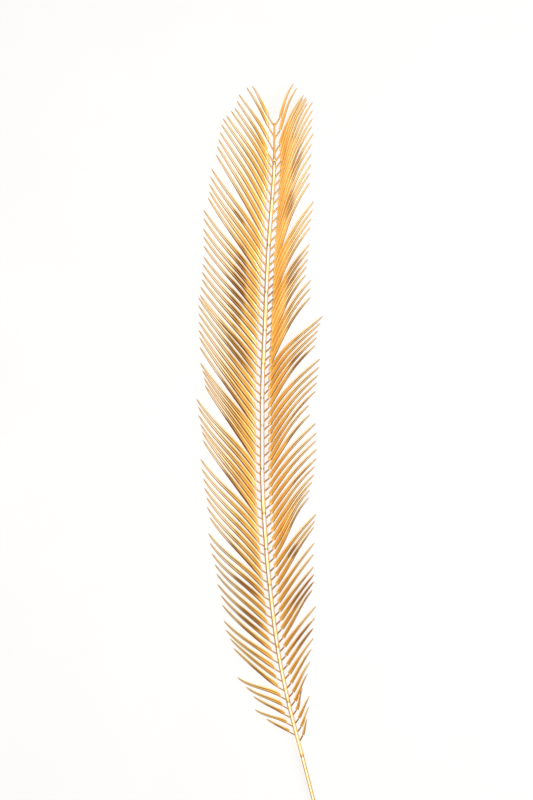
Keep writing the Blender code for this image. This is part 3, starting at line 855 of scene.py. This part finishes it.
def wire_material():
    """Drawn steel wire: lengthwise drawing marks, faint dulling and painted shade on its upper end
    in the tip's socket.
    """
    made, tree, shader = new_material("wire_finish")
    place = add(tree, "ShaderNodeTexCoord").outputs["Object"]
    stretch = add(tree, "ShaderNodeMapping")
    stretch.inputs["Scale"].default_value = WIRE_STRETCH
    tree.links.new(place, stretch.inputs["Vector"])
    drawn = noise_of(tree, stretch.outputs[0], 1.0)
    dull = noise_of(tree, place, 120.0)
    parts = add(tree, "ShaderNodeSeparateXYZ")
    tree.links.new(place, parts.inputs[0])
    joint_y = (JOINTS[-1] + SHIFT.y) * METRES
    # painted shade from just below the last joint up into the tip's socket, which also goes rougher
    socket_shade = smooth_step(tree, parts.outputs["Y"], joint_y - SOCKET_SHADE_REACH * METRES, joint_y)
    bright = ramp(tree, dull, ((0.3, (0.30, 0.29, 0.28)), (0.7, (0.52, 0.51, 0.50))))
    tree.links.new(mix(tree, socket_shade, bright, SOCKET_SHADE), shader.inputs["Base Color"])
    rough = plus(tree, times(tree, dull, 0.3), 0.25)
    tree.links.new(plus(tree, rough, times(tree, socket_shade, 0.4), clamp=True),
                   shader.inputs["Roughness"])
    shader.inputs["Metallic"].default_value = 1.0
    bumped(tree, shader, drawn, 0.3, 0.00005)
    return made


def floor_material():
    """Matt white paper sweep with the faintest mottling."""
    made, tree, shader = new_material("floor_paper")
    place = add(tree, "ShaderNodeTexCoord").outputs["Object"]
    mottle = noise_of(tree, place, 9.0, 2.0)
    tree.links.new(ramp(tree, mottle, ((0.3, (0.632,) * 3), (0.7, (0.641,) * 3))),
                   shader.inputs["Base Color"])
    shader.inputs["Roughness"].default_value = 0.9
    return made


# Pieces

def make_tip_sleeve():
    """The tip's own thin stem and knob, with the small round hole down into the socket."""
    skin = Skin()
    joint = JOINTS[-1]
    profile = [(joint + rise, along(TIP_RADII, rise) * ROUNDED) for rise in TIP_RISES]
    sleeve(skin, profile, joint + JOINT_GAP / 2, joint + SOCKET_DEPTH, closed_top=True,
           rimmed=True, slim_from=joint + SLIM_RISE)
    body = piece_from(skin, "tip_sleeve")
    centre = stem_point(joint + HOLE_RISE)
    angles = [2 * math.pi * k / DRILL_SIDES for k in range(DRILL_SIDES)]
    hole_marks = [(RIM_MARK, -0.5, SLEEVE_TONE, 0.0, 0.0)] * DRILL_SIDES
    drill = Skin()
    drill.solid([([centre + Vector((HOLE_RADIUS * math.cos(angle), HOLE_RADIUS * math.sin(angle),
                                    rise)) for angle in angles], hole_marks)
                 for rise in (0, DRILL_REACH)])
    cutter = piece_from(drill, "hole")
    cut = body.modifiers.new("hole", "BOOLEAN")
    cut.operation = "DIFFERENCE"
    cut.object = cutter
    cut.solver = "EXACT"
    bpy.context.view_layer.update()
    graph = bpy.context.evaluated_depsgraph_get()
    body.data = bpy.data.meshes.new_from_object(body.evaluated_get(graph))
    body.modifiers.clear()
    bpy.data.objects.remove(cutter)
    return body


def join(whole, part):
    """Adds one object's mesh to another's and removes it."""
    both = [whole, part]
    with bpy.context.temp_override(active_object=whole, object=whole, selected_objects=both,
                                   selected_editable_objects=both):
        bpy.ops.object.join()


def make_sections(gold):
    """The stem sleeve, the leafy sections and the tip, each in the place of its solid."""
    pieces = []
    all_leaves = leaflets()
    stem = Skin()
    profile = sleeve_profile(-JOINT_GAP / 2, JOINTS[0], lambda y: STEM_RADIUS * STEM_ROUNDED, 24)
    sleeve(stem, profile, 0, JOINTS[0] - JOINT_GAP / 2, ridges=STEM_LINE_HEIGHT,
           tone=BARE_TONE)
    pieces.append((stem, "stem_sleeve"))
    for number, (low, high) in enumerate(section_ends()):
        skin = Skin()
        profile = sleeve_profile(low, high, lambda y: along(SLEEVE_RADIUS, y) * ROUNDED, 12)
        sleeve(skin, profile, low + JOINT_GAP / 2, high - JOINT_GAP / 2, rimmed=True)
        for leaf in all_leaves:
            if leaf["section"] == number:
                skin.solid(leaflet_rings(leaf))
        pieces.append((skin, f"leaf_section_{number + 1:02d}"))
    tip = Skin()
    for leaf in all_leaves:
        if leaf["section"] == len(PAIRS):
            tip.solid(leaflet_rings(leaf))
    pieces.append((tip, "tip_section"))

    for skin, node in pieces:
        piece = piece_from(skin, "fine_" + node)
        if node == "tip_section":
            join(piece, make_tip_sleeve())
        piece.data.materials.clear()
        piece.data.materials.append(gold)
        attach(piece, "root")
        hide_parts(node)


def finish_wire():
    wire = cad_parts["core_wire"]
    finish = wire_material()
    if not wire.material_slots:
        wire.data.materials.append(finish)
    for holder in wire.material_slots:
        holder.material = finish


# Floor, light and camera

FLOOR_SIZE = 8

PHOTO_HEIGHT = 800
PHOTO_MIDDLE = Vector((4.6, 500.0, 8.0))
CAMERA_LENS = 150.0
SENSOR = 36.0

WORLD_LIGHT = 0.10
WORLD_COLOUR = (1.0, 0.99, 0.98, 1.0)

# Lamps: name, place, what it points at, size, power and colour
LAMPS = (
    ("overhead", (0.05, 0.1, 3.6), (0, 0.05, 0), (0.22, 0.22), 179.0, (1.0, 0.99, 0.975)),
    ("side", (1.7, 0.2, 1.1), (0, 0, 0), (0.8, 1.0), 9.0, (1.0, 0.985, 0.955)))


def make_floor():
    bpy.ops.mesh.primitive_plane_add(size=FLOOR_SIZE, location=(0, 0, 0))
    floor = bpy.context.object
    floor.name = "floor"
    floor.data.materials.append(floor_material())


def make_camera():
    data = bpy.data.cameras.new("camera")
    data.lens = CAMERA_LENS
    data.sensor_width = SENSOR
    camera = bpy.data.objects.new("camera", data)
    bpy.context.scene.collection.objects.link(camera)
    height = PHOTO_HEIGHT * METRES * CAMERA_LENS / SENSOR
    middle = (PHOTO_MIDDLE + SHIFT) * METRES
    camera.location = (middle.x, middle.y, middle.z + height)
    data.clip_end = 100
    bpy.context.scene.camera = camera


def area_light(name, place, aim, size, power, colour):
    data = bpy.data.lights.new(name, "AREA")
    data.shape = "RECTANGLE"
    data.size, data.size_y = size
    data.energy = power
    data.color = colour
    light = bpy.data.objects.new(name, data)
    bpy.context.scene.collection.objects.link(light)
    light.location = place
    light.rotation_euler = (Vector(aim) - Vector(place)).to_track_quat("-Z", "Y").to_euler()


def make_light():
    """A pale studio: faint light from all round, a small lamp above and a wide one to the right."""
    world = bpy.data.worlds.new("studio")
    bpy.context.scene.world = world
    world.use_nodes = True
    back = world.node_tree.nodes["Background"]
    back.inputs["Color"].default_value = WORLD_COLOUR
    back.inputs["Strength"].default_value = WORLD_LIGHT
    for lamp in LAMPS:
        area_light(*lamp)


bpy.context.scene.view_settings.view_transform = "Standard"
make_sections(gold_material())
finish_wire()
make_floor()
make_camera()
make_light()
